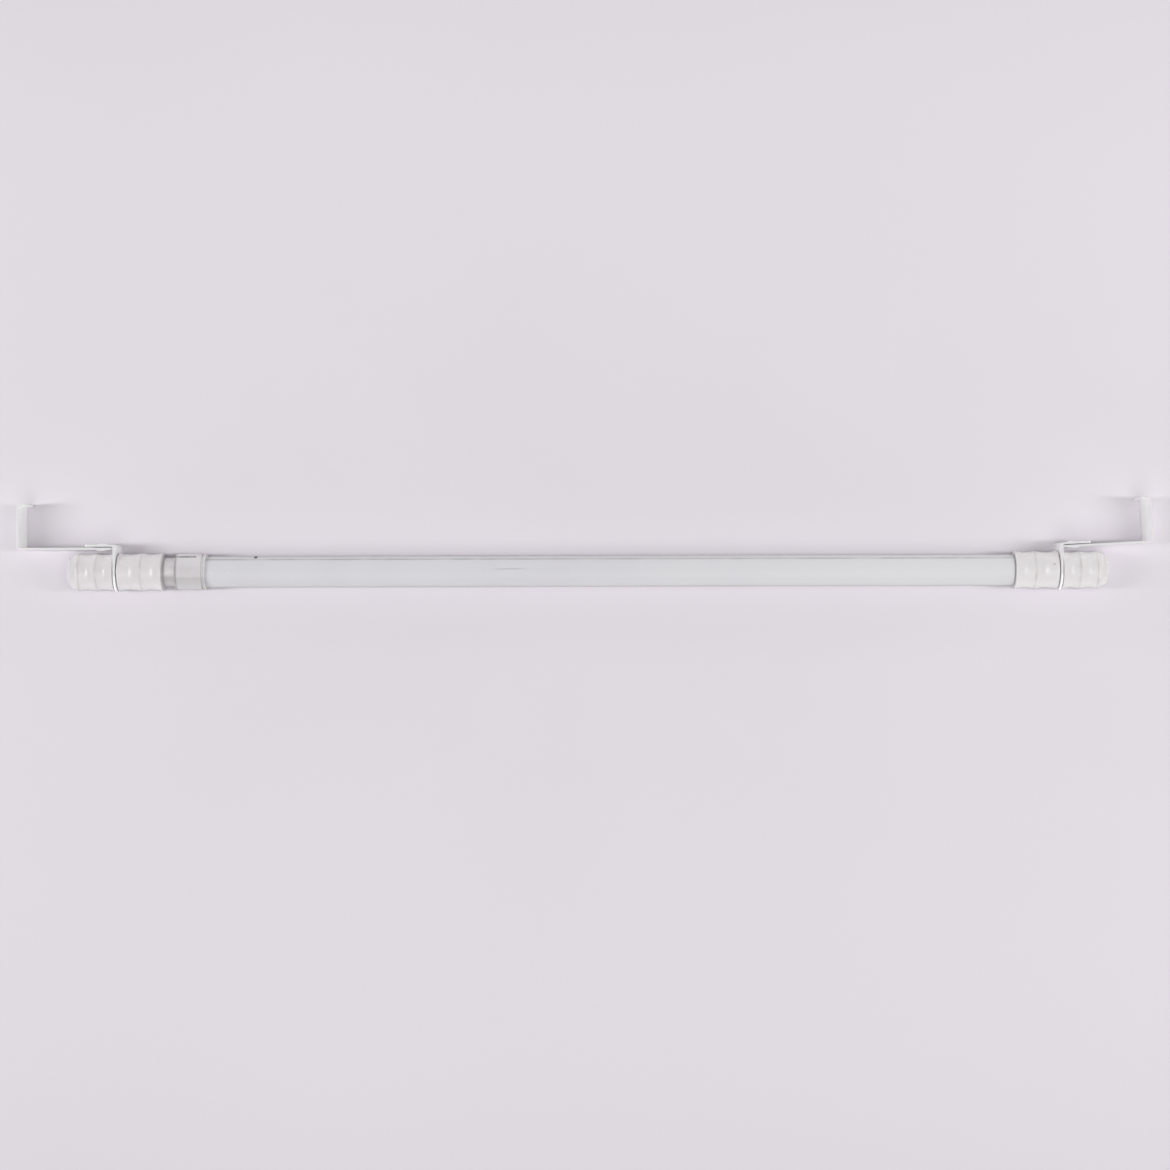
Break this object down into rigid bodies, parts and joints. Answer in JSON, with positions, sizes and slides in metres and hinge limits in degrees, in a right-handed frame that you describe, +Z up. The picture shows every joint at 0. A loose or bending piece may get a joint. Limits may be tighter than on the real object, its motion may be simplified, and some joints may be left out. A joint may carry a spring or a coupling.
{
  "type": "spring tension rod",
  "caption": "White telescopic rod with a sprung twist-lock inner tube, soft scalloped end caps and folded sheet hooks that grip the edges of a window sash.",
  "frame": {"origin": "middle of the rod on its axis", "axes": "+X along the rod from the inner tube's end towards the outer tube's end, +Y the way the hooks reach, +Z up as the rod lies"},
  "size_m": [0.4762, 0.0389, 0.017],
  "materials": {
    "white_paint": "satin",
    "white_plastic": "gloss",
    "zinc_steel": "satin",
    "soft_rubber": "matte",
    "hook_paint": "satin",
    "spring_steel": "satin",
    "grey_plastic": "matte"
  },
  "bodies": {
    "outer": {"outer_tube": "white_paint", "mouth_collar": "white_plastic", "right_end_cap": "soft_rubber"},
    "cam": {"cam_collar": "grey_plastic"},
    "spindle": {"lock_spindle": "grey_plastic", "push_nut": "spring_steel"},
    "inner": {"inner_tube": "zinc_steel", "left_end_cap": "soft_rubber", "guide_bush": "grey_plastic", "spring_stop": "grey_plastic", "spring": "spring_steel"},
    "left_hook": {"left_ring_plate": "hook_paint", "left_hook_strap": "hook_paint", "left_rivet": "hook_paint"},
    "right_hook": {"right_ring_plate": "hook_paint", "right_hook_strap": "hook_paint", "right_rivet": "hook_paint"}
  },
  "joints": [
    {"name": "length_adjust", "type": "slide", "parent": "outer", "child": "cam", "axis": [-1, 0, 0], "range_m": [0, 0.24]},
    {"name": "twist_lock", "type": "hinge", "parent": "cam", "child": "spindle", "pos_m": [0, 0, 0], "axis": [1, 0, 0], "range_deg": [-60, 60]},
    {"name": "spring_press", "type": "slide", "parent": "spindle", "child": "inner", "axis": [1, 0, 0], "range_m": [0, 0.0055], "stiffness_N_per_m": 1500, "springref_m": -0.01, "deforming": ["spring"]},
    {"name": "left_hook_swivel", "type": "hinge", "parent": "inner", "child": "left_hook", "pos_m": [-0.1987, 0, 0], "axis": [1, 0, 0], "continuous": true},
    {"name": "right_hook_swivel", "type": "hinge", "parent": "outer", "child": "right_hook", "pos_m": [0.1987, 0, 0], "axis": [1, 0, 0], "continuous": true}
  ]
}
